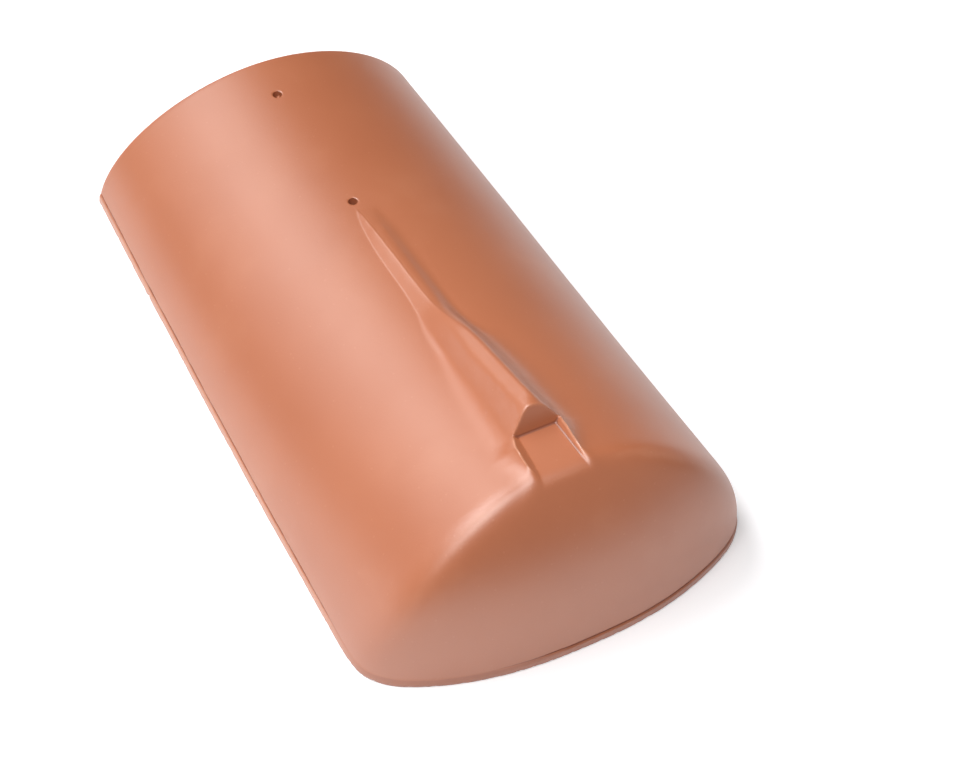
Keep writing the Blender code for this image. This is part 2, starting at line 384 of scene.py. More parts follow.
def seat_burr(cut, across, beside):
    """The fine raised line that the pressing tool leaves along the rims of the seat."""
    rim = step_up(across, *BURR_SIDE) * step_up(beside, *BURR_BEGINS)
    rim = rim * (1 - step_up(beside, *BURR_ENDS))
    return larger(1 - maths("ABSOLUTE", cut) / BURR_WIDTH, 0.0) * BURR_HEIGHT * rim


def cut_seat(tile, x, y, z, size):
    """A tray with a flat floor: its right wall is the steeper one and its back is the wedge's face."""
    above = z - seat_height(size)
    beside = size["Face foot"] - y
    across = maths("ABSOLUTE", x)
    lean = WALL_LEAN - RIGHT_WALL_STEEPER * step_up(x, *MIDDLE)
    inside = SEAT_HALF + beside * SEAT_WIDENS + above * lean - across
    inside = inside / maths("SQRT", 1 + lean * lean)
    ahead = (beside + above * FACE_LEAN) * FACE_SCALE
    cut = smaller(smaller(above, inside, FLOOR_ROUND), ahead, FACE_FOOT_ROUND)
    softness = RIM_ROUND + OPEN_ROUND * step_up(beside, *OPEN_ROUND_GROWS)
    softness = softness + HIGH_ROUND * step_up(above, *HIGH_ROUND_GROWS)
    return larger(tile - seat_burr(cut, across, beside), cut, softness)


# %% [markdown]
# The mould leaves a lip all round the rim, a little proud, with the fine groove of the parting line above
# it. The hand that trimmed the wet clay left its edge slightly uneven. Long, low waves in the surface are
# what makes a highlight on real clay wander, so a little noise is part of the rule.

# %% The lip and the parting groove
BARREL_RIM, BARREL_CLEAR = (-0.160, -0.095), 0.8
UNRUBBED_END = (-0.075, 0.010)
LIP_SOFT, LIP_SHARPER, LIP_ABOVE = 0.0034, 0.0026, 0.4
SIDE_THINNER, SIDE_THINS = 0.35, (0.098, 0.108)
GROOVE_DEPTH, GROOVE_ABOVE, GROOVE_HALF = 0.0006, 0.0006, 0.0007


def add_lip(tile, x, y, z, size, ragged):
    """The lip stands clear everywhere but on the left of the closed end, where it is rubbed flat."""
    edge = size["Lip height"] + ragged
    clear = larger(step_up(x, *UNRUBBED_END), step_up(y, *BARREL_RIM) * BARREL_CLEAR)
    softness = LIP_SOFT - LIP_SHARPER * clear
    proud = size["Lip proud"] * (1 - SIDE_THINNER * step_up(maths("ABSOLUTE", x), *SIDE_THINS))
    lip = proud * (1 - step_up(z, edge - softness, edge + softness * LIP_ABOVE))
    off_groove = maths("ABSOLUTE", z - edge - GROOVE_ABOVE) / GROOVE_HALF
    groove = GROOVE_DEPTH * larger(1 - off_groove, 0.0) * clear
    return tile - lip + groove


# %% The mouths of the nail holes
MOUTH_DEPTH, MOUTH_INSIDE, MOUTH_OUTSIDE = 0.0005, 0.0003, 0.0007


def soften_mouths(tile, x, y, size):
    """The nails' holes were pushed through wet clay, so their mouths turn in a little."""
    radius = size["Bore"] / 2
    for nail in ("First", "Second"):
        off_axis = from_nail(x, y, size["Length"] / 2, size[nail])
        turned_in = 1 - step_up(off_axis, radius - MOUTH_INSIDE, radius + MOUTH_OUTSIDE)
        tile = tile + turned_in * MOUTH_DEPTH
    return tile


# %% The whole outside, with the hand's unevenness
LONG_WAVES = (9.0, 1.0, 3.1, 0.0011)
SHORT_WAVES = (38.0, 2.0, 7.7, 0.00022)
WEDGE_WANDER = (160.0, 1.0, 1.3, 0.0006)
LIP_WANDER = (55.0, 3.0, 5.2, 0.0016)
RIM_CRUMBLE, RIM_CRUMBLE_BAND = (300.0, 2.0, 9.9, 0.0020), (0.0004, 0.0018)
GROUND_ROUND, CUT_END_ROUND = 0.0014, 0.0026


def whole_tile(tree, point, size):
    """The outside of the finished tile at a point, or the plain shell where there is no unevenness."""
    x, y, z = coordinates(tree, point)
    uneven = size["Unevenness"]
    waves = hills(tree, point, LONG_WAVES) + hills(tree, point, SHORT_WAVES)
    tile = plain_tile(x, y, z, size) + waves * uneven
    shell = tile
    wander = hills(tree, point, WEDGE_WANDER)
    tile = cut_seat(add_wedge(tile, x, y, z, size, wander), x, y, z, size)
    ragged = hills(tree, point, LIP_WANDER)
    tile = soften_mouths(add_lip(tile, x, y, z, size, ragged), x, y, size)
    crumbled = larger(hills(tree, point, RIM_CRUMBLE), 0.0)
    tile = tile + crumbled * (1 - step_up(z, *RIM_CRUMBLE_BAND))
    tile = larger(tile, -z, GROUND_ROUND)
    tile = larger(tile, y - size["Length"] / 2, CUT_END_ROUND)
    plain = maths("COMPARE", uneven, 0.0, 0.001)
    return tile + (shell - tile) * plain


# %% [markdown]
# ## Pulling a crate onto the form
#
# Now that a rule says where the clay ends, we need a mesh on it. We start with an open crate of quads
# around the tile, its lines close together where the tile has fine detail. The tree then pulls each point
# straight towards the ground line inside the tile. It begins half way along that line and takes steps out
# or in, each half as long as the last, until the point sits on the surface to a thousandth of a
# millimetre.

# %% The tree that presses the crate onto the tile
SPINE_HEIGHT = 0.010
SPINE_INSET = 0.030
REACH = 0.170
HALVINGS = 24


def new_tree(name, sizes, has_geometry=True):
    tree = bpy.data.node_groups.new(name, "GeometryNodeTree")
    if has_geometry:
        tree.interface.new_socket("Geometry", in_out="INPUT", socket_type="NodeSocketGeometry")
    tree.interface.new_socket("Geometry", in_out="OUTPUT", socket_type="NodeSocketGeometry")
    for label, value in sizes.items():
        kind = "NodeSocketMaterial" if label == "Clay" else "NodeSocketFloat"
        socket = tree.interface.new_socket(label, in_out="INPUT", socket_type=kind)
        if kind == "NodeSocketFloat":
            socket.default_value = value
    return tree


def add_node(tree, kind, **settings):
    node = tree.nodes.new(kind)
    for name, value in settings.items():
        setattr(node, name, value)
    return node


def finish_tree(tree, geometry, material):
    """Ends a tree in real geometry with its material."""
    whole = tree.nodes.new("GeometryNodeRealizeInstances")
    paint = tree.nodes.new("GeometryNodeSetMaterial")
    result = tree.nodes.new("NodeGroupOutput")
    tree.links.new(geometry, whole.inputs[0])
    tree.links.new(whole.outputs[0], paint.inputs["Geometry"])
    tree.links.new(material, paint.inputs["Material"])
    tree.links.new(paint.outputs[0], result.inputs[0])


def press_tree():
    """A tree that pulls every point of a mesh along its own line onto the rule's zero."""
    tree = new_tree("Press a crate onto the tile", {**SIZES, "Clay": None})
    given = tree.nodes.new("NodeGroupInput")
    size = {label: Number(tree, given.outputs[label]) for label in SIZES}
    place = tree.nodes.new("GeometryNodeInputPosition")
    y, z = coordinates(tree, place.outputs[0])[1:]
    pivot = size["Lip proud"] - size["Length"] / 2 + size["End lean"] + SPINE_INSET
    spine = tree.nodes.new("ShaderNodeCombineXYZ")
    connect(tree, maths("MAXIMUM", y, pivot), spine.inputs[1])
    connect(tree, maths("MINIMUM", z, SPINE_HEIGHT), spine.inputs[2])
    outward = add_node(tree, "ShaderNodeVectorMath", operation="SUBTRACT")
    tree.links.new(place.outputs[0], outward.inputs[0])
    tree.links.new(spine.outputs[0], outward.inputs[1])
    straight = add_node(tree, "ShaderNodeVectorMath", operation="NORMALIZE")
    tree.links.new(outward.outputs[0], straight.inputs[0])

    keep = add_node(tree, "GeometryNodeStoreNamedAttribute", data_type="FLOAT_VECTOR", domain="POINT")
    keep.inputs["Name"].default_value = "outward"
    tree.links.new(given.outputs["Geometry"], keep.inputs["Geometry"])
    tree.links.new(straight.outputs[0], keep.inputs["Value"])
    recall = add_node(tree, "GeometryNodeInputNamedAttribute", data_type="FLOAT_VECTOR")
    recall.inputs["Name"].default_value = "outward"

    half_way = add_node(tree, "ShaderNodeVectorMath", operation="MULTIPLY_ADD")
    half_way.inputs[1].default_value = (REACH / 2,) * 3
    tree.links.new(straight.outputs[0], half_way.inputs[0])
    tree.links.new(spine.outputs[0], half_way.inputs[2])
    begin = tree.nodes.new("GeometryNodeSetPosition")
    tree.links.new(keep.outputs[0], begin.inputs["Geometry"])
    tree.links.new(half_way.outputs[0], begin.inputs["Position"])

    enter = tree.nodes.new("GeometryNodeRepeatInput")
    leave = tree.nodes.new("GeometryNodeRepeatOutput")
    enter.pair_with_output(leave)
    leave.repeat_items.new("FLOAT", "Step")
    enter.inputs["Iterations"].default_value = HALVINGS
    enter.inputs["Step"].default_value = REACH / 4
    tree.links.new(begin.outputs[0], enter.inputs["Geometry"])
    here = tree.nodes.new("GeometryNodeInputPosition")
    side = maths("SIGN", whole_tile(tree, here.outputs[0], size))
    stride = Number(tree, enter.outputs["Step"])
    move = add_node(tree, "ShaderNodeVectorMath", operation="SCALE")
    tree.links.new(recall.outputs[0], move.inputs[0])
    connect(tree, -(side * stride), move.inputs["Scale"])
    shift = tree.nodes.new("GeometryNodeSetPosition")
    tree.links.new(enter.outputs["Geometry"], shift.inputs["Geometry"])
    tree.links.new(move.outputs[0], shift.inputs["Offset"])
    tree.links.new(shift.outputs[0], leave.inputs["Geometry"])
    connect(tree, stride / 2, leave.inputs["Step"])

    forget = tree.nodes.new("GeometryNodeRemoveAttribute")
    forget.inputs["Name"].default_value = "outward"
    tree.links.new(leave.outputs["Geometry"], forget.inputs[0])
    finish_tree(tree, forget.outputs[0], given.outputs["Clay"])
    return tree


PRESS = press_tree()
print(f"{PRESS.name}: {len(PRESS.nodes)} nodes")

# %% [markdown]
# The crate is a closed box of quads with one large face beneath and one at the open end. Those two stay
# flat, because the points on them are only pulled sideways, and they become the rim and the cut end.

# %% Build crates
def add_object(name, data):
    made = bpy.data.objects.new(name, data)
    bpy.context.scene.collection.objects.link(made)
    return made


def mesh_from(name, bm):
    """Writes a bmesh to a new mesh and frees it."""
    mesh = bpy.data.meshes.new(name)
    bm.to_mesh(mesh)
    bm.free()
    return mesh


def spaced(*stops):
    """Positions along a line: pairs of (where, spacing up to there), after the first position."""
    line = [stops[0]]
    for where, spacing in stops[1:]:
        count = max(1, round(abs(where - line[-1]) / spacing))
        start = line[-1]
        line += [start + (where - start) * step / count for step in range(1, count + 1)]
    return line


def build_crate(name, across, along, up):
    """A box over the given lines: across from left to right, along from back to front, up from below."""
    bm = bmesh.new()
    places = {}

    def point(i, j, k):
        if (i, j, k) not in places:
            places[i, j, k] = bm.verts.new((across[i], along[j], up[k]))
        return places[i, j, k]

    last_i, last_j, last_k = len(across) - 1, len(along) - 1, len(up) - 1
    for j in range(last_j):
        for i in range(last_i):
            corners = ((i, j), (i, j + 1), (i + 1, j + 1), (i + 1, j))
            bm.faces.new([point(a, b, last_k) for a, b in corners])
        for k in range(last_k):
            corners = ((j, k), (j + 1, k), (j + 1, k + 1), (j, k + 1))
            bm.faces.new([point(0, b, c) for b, c in corners])
            bm.faces.new([point(last_i, b, c) for b, c in reversed(corners)])
    for i in range(last_i):
        for k in range(last_k):
            corners = ((i, k), (i + 1, k), (i + 1, k + 1), (i, k + 1))
            bm.faces.new([point(a, last_j, c) for a, c in corners])
    ground = [point(0, j, 0) for j in range(last_j + 1)]
    ground += [point(i, last_j, 0) for i in range(1, last_i + 1)]
    ground += [point(last_i, j, 0) for j in range(last_j - 1, -1, -1)]
    back = [point(0, 0, k) for k in range(last_k + 1)]
    back += [point(i, 0, last_k) for i in range(1, last_i + 1)]
    back += [point(last_i, 0, k) for k in range(last_k - 1, -1, -1)]
    bm.faces.new(reversed(ground))
    bm.faces.new(reversed(back))
    bmesh.ops.recalc_face_normals(bm, faces=bm.faces)
    made = add_object(name, mesh_from(name, bm))
    print(f"{name}: {len(made.data.polygons)} faces")
    return made


def set_inputs(modifier, values):
    """Sets a Geometry Nodes modifier's inputs by their labels."""
    for item in modifier.node_group.interface.items_tree:
        if item.in_out == "INPUT" and item.name in values:
            modifier[item.identifier] = values[item.name]


def to_plain_mesh(made):
    """Replaces an object's mesh by what its modifiers make of it, and drops the modifiers."""
    depsgraph = bpy.context.evaluated_depsgraph_get()
    mesh = bpy.data.meshes.new_from_object(made.evaluated_get(depsgraph))
    made.modifiers.clear()
    made.data = mesh
    return made


def press(made, **values):
    modifier = made.modifiers.new("press", "NODES")
    modifier.node_group = PRESS
    set_inputs(modifier, values)
    return to_plain_mesh(made)


# %% [markdown]
# ## The clay
#
# Unglazed clay fires to an even orange with slow drifts towards pink and brown, a fine grain of sand and
# grog, and a paler bloom where salts came to the surface. Edges that were rubbed in the mould are lighter,
# and the same mask paints a highlight along them; hollows get painted shade. Each of these is a node group
# with named inputs, so another clay thing could use it with other values.

# %% Helpers for shader groups
SOCKET_KINDS = {"colour": "NodeSocketColor", "number": "NodeSocketFloat", "vector": "NodeSocketVector"}


def shader_group(name, inputs, outputs):
    group = bpy.data.node_groups.new(name, "ShaderNodeTree")
    for label, (kind, value) in inputs.items():
        socket = group.interface.new_socket(label, in_out="INPUT", socket_type=SOCKET_KINDS[kind])
        if value is not None:
            socket.default_value = value
    for label, kind in outputs.items():
        group.interface.new_socket(label, in_out="OUTPUT", socket_type=SOCKET_KINDS[kind])
    return group, group.nodes.new("NodeGroupInput"), group.nodes.new("NodeGroupOutput")


def place_group(tree, group, values):
    """Puts a group in a tree. A value is a plain value or a socket to link."""
    node = tree.nodes.new("ShaderNodeGroup")
    node.node_tree = group
    for label, value in values.items():
        if isinstance(value, bpy.types.NodeSocket):
            tree.links.new(value, node.inputs[label])
        else:
            node.inputs[label].default_value = value
    return node


def mix_colours(tree, factor, first, second, blend="MIX"):
    node = tree.nodes.new("ShaderNodeMix")
    node.data_type, node.blend_type = "RGBA", blend
    for value, slot in ((factor, node.inputs[0]), (first, node.inputs[6]), (second, node.inputs[7])):
        if isinstance(value, bpy.types.NodeSocket):
            tree.links.new(value, slot)
        else:
            connect(tree, value, slot)
    return node.outputs[2]


# %% The slow drift of the fired colour
CLOUD_EDGE, PATCH_EDGE = (-0.16, 0.16), (0.02, 0.26)


def drift_group():
    """Mixes two clay colours in slow clouds, with softer patches of bloom."""
    inputs = {
        "Point": ("vector", None),
        "Clay": ("colour", (0.5, 0.2, 0.1, 1)),
        "Warm": ("colour", (0.5, 0.2, 0.1, 1)),
        "Bloom": ("colour", (0.6, 0.4, 0.3, 1)),
        "Bloom amount": ("number", 0.3),
        "Cloud scale": ("number", 8.0),
        "Patch scale": ("number", 26.0),
    }
    group, given, result = shader_group("Fired colour drift", inputs, {"Colour": "colour"})
    scales = [Number(group, given.outputs[label]) for label in ("Cloud scale", "Patch scale")]
    cloud = step_up(noise(group, given.outputs["Point"], scales[0], 3.0, 2.2), *CLOUD_EDGE)
    patch = step_up(noise(group, given.outputs["Point"], scales[1], 4.0, 8.4), *PATCH_EDGE)
    warm = mix_colours(group, cloud, given.outputs["Clay"], given.outputs["Warm"])
    pale = patch * Number(group, given.outputs["Bloom amount"])
    group.links.new(mix_colours(group, pale, warm, given.outputs["Bloom"]), result.inputs["Colour"])
    return group


# %% The grain of sand and grog
PORE_SHARE, PORE_FROM, PORE_DEPTH = 0.35, 0.16, 2.5
GRAIN_EDGE, RARE_GRAIN, GROG_HEIGHT = (0.10, 0.22), (0.80, 0.86), 0.25


def grain_group():
    """Fine sand and pores as a height, and the few larger grains of grog as a mask."""
    inputs = {
        "Point": ("vector", None),
        "Sand scale": ("number", 900.0),
        "Grog scale": ("number", 260.0),
    }
    group, given, result = shader_group("Clay grain", inputs, {"Height": "number", "Grog": "number"})
    point = given.outputs["Point"]
    sand_scale = Number(group, given.outputs["Sand scale"])
    sand = noise(group, point, sand_scale, 3.0, 4.4)
    pores = noise(group, point, sand_scale * PORE_SHARE, 2.0, 6.1)
    cells = group.nodes.new("ShaderNodeTexVoronoi")
    group.links.new(point, cells.inputs["Vector"])
    connect(group, Number(group, given.outputs["Grog scale"]), cells.inputs["Scale"])
    near = 1 - step_up(Number(group, cells.outputs["Distance"]), *GRAIN_EDGE)
    split = group.nodes.new("ShaderNodeSeparateColor")
    group.links.new(cells.outputs["Color"], split.inputs[0])
    grog = near * step_up(Number(group, split.outputs[0]), *RARE_GRAIN)
    height = sand * 0.5 + 0.5 - larger(pores - PORE_FROM, 0.0) * PORE_DEPTH + grog * GROG_HEIGHT
    connect(group, height, result.inputs["Height"])
    connect(group, grog, result.inputs["Grog"])
    return group


# %% Rubbed edges with a painted highlight, and painted shade in hollows
BREAKS = (180.0, 2.0, 3.9, 0.5)
MASK_START = 0.3


def edge_group():
    """Masks of the convex edges, rubbed and given a painted highlight, and of hollows, for painted shade.
    """
    inputs = {
        "Pointiness": ("number", 0.5),
        "Point": ("vector", None),
        "Edge": ("number", 0.03),
        "Hollow": ("number", 0.03),
    }
    outputs = {"Wear and highlight": "number", "Painted shade": "number"}
    group, given, result = shader_group("Edge wear, painted highlight and painted shade", inputs, outputs)
    sharp = Number(group, given.outputs["Pointiness"]) - 0.5
    broken = hills(group, given.outputs["Point"], BREAKS) + 1
    edge, hollow = Number(group, given.outputs["Edge"]), Number(group, given.outputs["Hollow"])
    connect(group, step_up(sharp * broken, edge * MASK_START, edge), result.inputs["Wear and highlight"])
    connect(group, step_up(-sharp, hollow * MASK_START, hollow), result.inputs["Painted shade"])
    return group


DRIFT, GRAIN, EDGES = drift_group(), grain_group(), edge_group()
print("shader groups:", ", ".join(group.name for group in (DRIFT, GRAIN, EDGES)))

# %% [markdown]
# The material itself is then short: the drift gives the base colour and grog lightens it. Convex edges
# get rubbed wear with a painted highlight, the lip gets painted light on its left side and painted shade at
# the closed end, and hollows and the strip along the ground get painted shade. The grain feeds the bump and
# a little of the roughness. The clay is satin, so a bright room shows as soft sheen, strongest where the
# surface turns away from the eye.

# %% The colours of the clay
CLAY_COLOURS = {
    "Clay": (0.430, 0.128, 0.051, 1),
    "Warm": (0.462, 0.144, 0.060, 1),
    "Bloom": (0.530, 0.200, 0.100, 1),
}
GROG_COLOUR = (0.52, 0.20, 0.11, 1)
# Rubbed wear on convex edges, which also paints a highlight along them
WEAR_AND_HIGHLIGHT_COLOUR = (0.70, 0.34, 0.21, 1)
# Painted light: the left side of the lip made paler where it faces the light
LIT_LIP_COLOUR = (0.66, 0.36, 0.25, 1)
# Painted shade for hollows, the strip along the ground and the lip at the closed end
PAINTED_SHADE_COLOUR = (0.22, 0.050, 0.018, 1)
# Besides grog, these colours paint wear with a highlight, light on the lip, and shade
print(f"{len(CLAY_COLOURS)} clay colours and 4 for grog, rubbed edges with painted highlight, painted light on the lip and painted shade")

# %% Where the clay gets rubbed wear with a painted highlight, painted light and painted shade
# How strongly convex edges get rubbed wear with a painted highlight
WEAR_AND_HIGHLIGHT, WEAR_AND_HIGHLIGHT_MORE, SEAT_BORDER = 0.10, 0.40, (-0.1350, -0.1320)
ABOVE_LIP, HOLE_BORDER = (0.009, 0.014), (0.0045, 0.0060)
# The wavy strip of painted shade along the ground line
GROUND_SHADE_WANDER, GROUND_SHADE_BAND = (300.0, 2.0, 2.7, 0.0014), (0.0004, 0.0013)
# Where the lip gets painted light on the left and painted shade at the closed end
LIP_BAND, BARREL_LIP, LEFT_LIP = (0.0050, 0.0062), (-0.175, -0.120), (0.09, 0.10)


def wear_and_highlight_places(tree, where):
    """Wear and painted highlight on edges: most on the seat's rims, a little elsewhere, not on lip and
    holes.
    """
    x, y, z = coordinates(tree, where)
    at_seat = 1 - step_up(y, *SEAT_BORDER)
    share = (WEAR_AND_HIGHLIGHT + WEAR_AND_HIGHLIGHT_MORE * at_seat) * step_up(z, *ABOVE_LIP)
    for nail in ("First", "Second"):
        share = share * step_up(from_nail(x, y, LENGTH / 2, NAILS[nail]), *HOLE_BORDER)
    return share


def ground_line_shade(tree, where):
    """1 on the last millimetre above the ground, for painted shade along the foot of the rim."""
    height = coordinates(tree, where)[2] + hills(tree, where, GROUND_SHADE_WANDER)
    return 1 - step_up(height, *GROUND_SHADE_BAND)


def lip_light_and_shade(tree, where):
    """Masks of the lip: painted light on its left side and painted shade at the closed end."""
    x, y, z = coordinates(tree, where)
    lip = 1 - step_up(z + hills(tree, where, LIP_WANDER), *LIP_BAND)
    on_side = step_up(y, *BARREL_LIP)
    return lip * on_side * step_up(-x, *LEFT_LIP), lip * (1 - on_side)


# %% Make the fired clay
BLOOM_AMOUNT, GROG_AMOUNT = 0.2, 0.30
# Amounts of painted light and painted shade on the lip, and of painted shade in hollows and along the
# ground
LIT_LIP_AMOUNT, SHADED_LIP_AMOUNT, PAINTED_SHADE_AMOUNT = 0.35, 0.30, 0.75
ROUGHNESS, ROUGHER_GRAIN = 0.37, 0.08


def fired_clay():
    material = bpy.data.materials.new("fired clay")
    material.use_nodes = True
    tree = material.node_tree
    shader = tree.nodes["Principled BSDF"]
    shader.inputs["IOR"].default_value = 1.55
    shader.inputs["Specular IOR Level"].default_value = 1.0
    where = tree.nodes.new("ShaderNodeTexCoord").outputs["Object"]
    geometry = tree.nodes.new("ShaderNodeNewGeometry")
    drift = place_group(tree, DRIFT, {"Point": where, "Bloom amount": BLOOM_AMOUNT, **CLAY_COLOURS})
    grain = place_group(tree, GRAIN, {"Point": where})
    edges = place_group(tree, EDGES, {"Point": where, "Pointiness": geometry.outputs["Pointiness"]})
    grog = Number(tree, grain.outputs["Grog"]) * GROG_AMOUNT
    # Rubbed wear plus a painted highlight along convex edges
    rubbed = Number(tree, edges.outputs["Wear and highlight"]) * wear_and_highlight_places(tree, where)
    # Painted light on the lip's left side, painted shade on the lip at the closed end
    lit_lip, shaded_lip = lip_light_and_shade(tree, where)
    # Painted shade in hollows and along the ground line
    painted_shade = larger(Number(tree, edges.outputs["Painted shade"]), ground_line_shade(tree, where)) * PAINTED_SHADE_AMOUNT
    painted_shade = larger(painted_shade, shaded_lip * SHADED_LIP_AMOUNT)
    colour = mix_colours(tree, grog, drift.outputs["Colour"], GROG_COLOUR)
    colour = mix_colours(tree, lit_lip * LIT_LIP_AMOUNT, colour, LIT_LIP_COLOUR)
    colour = mix_colours(tree, painted_shade, colour, PAINTED_SHADE_COLOUR)
    colour = mix_colours(tree, rubbed, colour, WEAR_AND_HIGHLIGHT_COLOUR)
    tree.links.new(colour, shader.inputs["Base Color"])
    roughness = Number(tree, grain.outputs["Height"]) * ROUGHER_GRAIN + ROUGHNESS
    connect(tree, roughness, shader.inputs["Roughness"])
    bump = tree.nodes.new("ShaderNodeBump")
    bump.inputs["Strength"].default_value = 0.20
    bump.inputs["Distance"].default_value = 0.0004
    tree.links.new(grain.outputs["Height"], bump.inputs["Height"])
    tree.links.new(bump.outputs["Normal"], shader.inputs["Normal"])
    return material


CLAY = fired_clay()

# %% [markdown]
# ## Making the tile
#
# The outside is pressed from a fine crate. The hollow is a core pressed from a coarse crate with the same
# tree, a wall's thickness smaller all round, and it is taken away from the outside with a Boolean, as a
# mould and its core would leave the clay between them. The rims come out flat because the core runs past
# them.

# %% Press the outside
CRATE_SIDE, CRATE_TOP, CRATE_FRONT = 0.130, 0.150, -0.230
FAN = -0.118


def both_sides(half):
    """Mirrors a line of positions that starts at zero."""
    return [-value for value in reversed(half[1:])] + half


fine_across = both_sides(spaced(
    0.0, (0.030, 0.0007), (0.045, 0.0015), (0.075, 0.003), (CRATE_SIDE, 0.005),
))
FIRST_HOLE, SECOND_HOLE = (LENGTH / 2 - NAILS[nail] for nail in ("First", "Second"))
AROUND_HOLE = 0.0045
fine_along = spaced(
    LENGTH / 2, (0.1988, 0.0003), (0.196, 0.0009),
    (FIRST_HOLE + AROUND_HOLE, 0.004), (FIRST_HOLE - AROUND_HOLE, 0.0005),
    (SECOND_HOLE + AROUND_HOLE, 0.005), (SECOND_HOLE - AROUND_HOLE, 0.0005),
    (0.040, 0.0016), (-0.100, 0.0026), (FAN, 0.0010), (-0.182, 0.0008), (CRATE_FRONT, 0.0032),
)
fine_up = spaced(0.0, (0.0016, 0.00032), (0.0080, 0.0004), (SPINE_HEIGHT, 0.0010), (CRATE_TOP, 0.004))
tile = build_crate("ridge_tile_clay", fine_across, fine_along, fine_up)
press(tile, Clay=CLAY)

# %% Press the core
core_across = both_sides(spaced(0.0, (CRATE_SIDE, 0.006)))
core_along = spaced(LENGTH / 2 + 0.010, (FAN, 0.010), (CRATE_FRONT, 0.005))
core_up = spaced(-0.010, (SPINE_HEIGHT, 0.005), (CRATE_TOP, 0.006))
core = build_crate("core", core_across, core_along, core_up)
press(core, Clay=CLAY, Inset=WALL, Unevenness=0.0)

# %% [markdown]
# Two nails hold the tile. Their holes are punched through the soft clay with round pins, so a small tree
# sets the same pin at both places and the Boolean takes them away.

# %% Punch the nail holes
PINS = {**NAILS, "Length": LENGTH}
PIN_MIDDLE = 0.066
PIN_LENGTH = 0.050


def pins_tree():
    tree = new_tree("Nail pins on the crown", {**PINS, "Clay": None}, has_geometry=False)
    given = tree.nodes.new("NodeGroupInput")
    size = {label: Number(tree, given.outputs[label]) for label in PINS}
    line = add_node(tree, "GeometryNodeMeshLine", mode="END_POINTS", count_mode="TOTAL")
    line.inputs["Count"].default_value = 2
    for label, slot in (("First", "Start Location"), ("Second", "Offset")):
        spot = tree.nodes.new("ShaderNodeCombineXYZ")
        connect(tree, size["Length"] / 2 - size[label], spot.inputs[1])
        spot.inputs[2].default_value = PIN_MIDDLE
        tree.links.new(spot.outputs[0], line.inputs[slot])
    pin = tree.nodes.new("GeometryNodeMeshCylinder")
    pin.inputs["Vertices"].default_value = 48
    pin.inputs["Depth"].default_value = PIN_LENGTH
    connect(tree, size["Bore"] / 2, pin.inputs["Radius"])
    copies = tree.nodes.new("GeometryNodeInstanceOnPoints")
    tree.links.new(line.outputs[0], copies.inputs["Points"])
    tree.links.new(pin.outputs[0], copies.inputs["Instance"])
    finish_tree(tree, copies.outputs[0], given.outputs["Clay"])
    return tree


def grow(name, tree, values, start=None):
    """Makes an object from a tree alone, or from a tree that starts with a copy of a mesh."""
    made = add_object(name, start.data.copy() if start else bpy.data.meshes.new(name))
    modifier = made.modifiers.new("grow", "NODES")
    modifier.node_group = tree
    set_inputs(modifier, values)
    to_plain_mesh(made)
    print(f"{name}: {len(made.data.polygons)} faces")
    return made


pins = grow("nail pins", pins_tree(), {**PINS, "Clay": CLAY})

# %% [markdown]
# The upper hole kept a crumb of clay at its mouth, and one larger chip is broken out of the left rim. Each
# is a small ball, pushed about by noise so that it looks torn. The first is joined to the tile and the
# second taken away.

# %% Make a crumb for the upper hole and a chip for the left rim
CRUMB_SIZE, CHIP_SIZE = 0.00125, 0.0017
CRUMB_PLACE = Vector((0.0002, FIRST_HOLE - 0.0022, 0.0684))
CHIP_PLACE = Vector((-0.1067, 0.1190, 0.0010))
TORN_DEPTH, TORN_SCALE = 0.5, 900


def ragged_ball(name, radius, place):
    bm = bmesh.new()
    bmesh.ops.create_icosphere(bm, subdivisions=3, radius=radius)
    for vert in bm.verts:
        vert.co *= 1 + TORN_DEPTH * blender_noise.noise(vert.co * TORN_SCALE)
        vert.co += place
    made = add_object(name, mesh_from(name, bm))
    made.data.materials.append(CLAY)
    print(f"{name}: {len(made.data.polygons)} faces")
    return made


crumb = ragged_ball("crumb", CRUMB_SIZE, CRUMB_PLACE)
rim_chip = ragged_ball("rim chip", CHIP_SIZE, CHIP_PLACE)

# %% [markdown]
# Small chips run along the rims and the cut end, where tiles knock together. A tree scatters little rough
# stones on the lowest strip of the surface, never closer than a few millimetres, each with its own size,
# and the Boolean bites them out.

# %% Scatter the chips
CHIPS = {"Smallest": 0.0004, "Largest": 0.0010, "Apart": 0.0075, "Strip": 0.0016}
OFF_GROUND = 0.0001


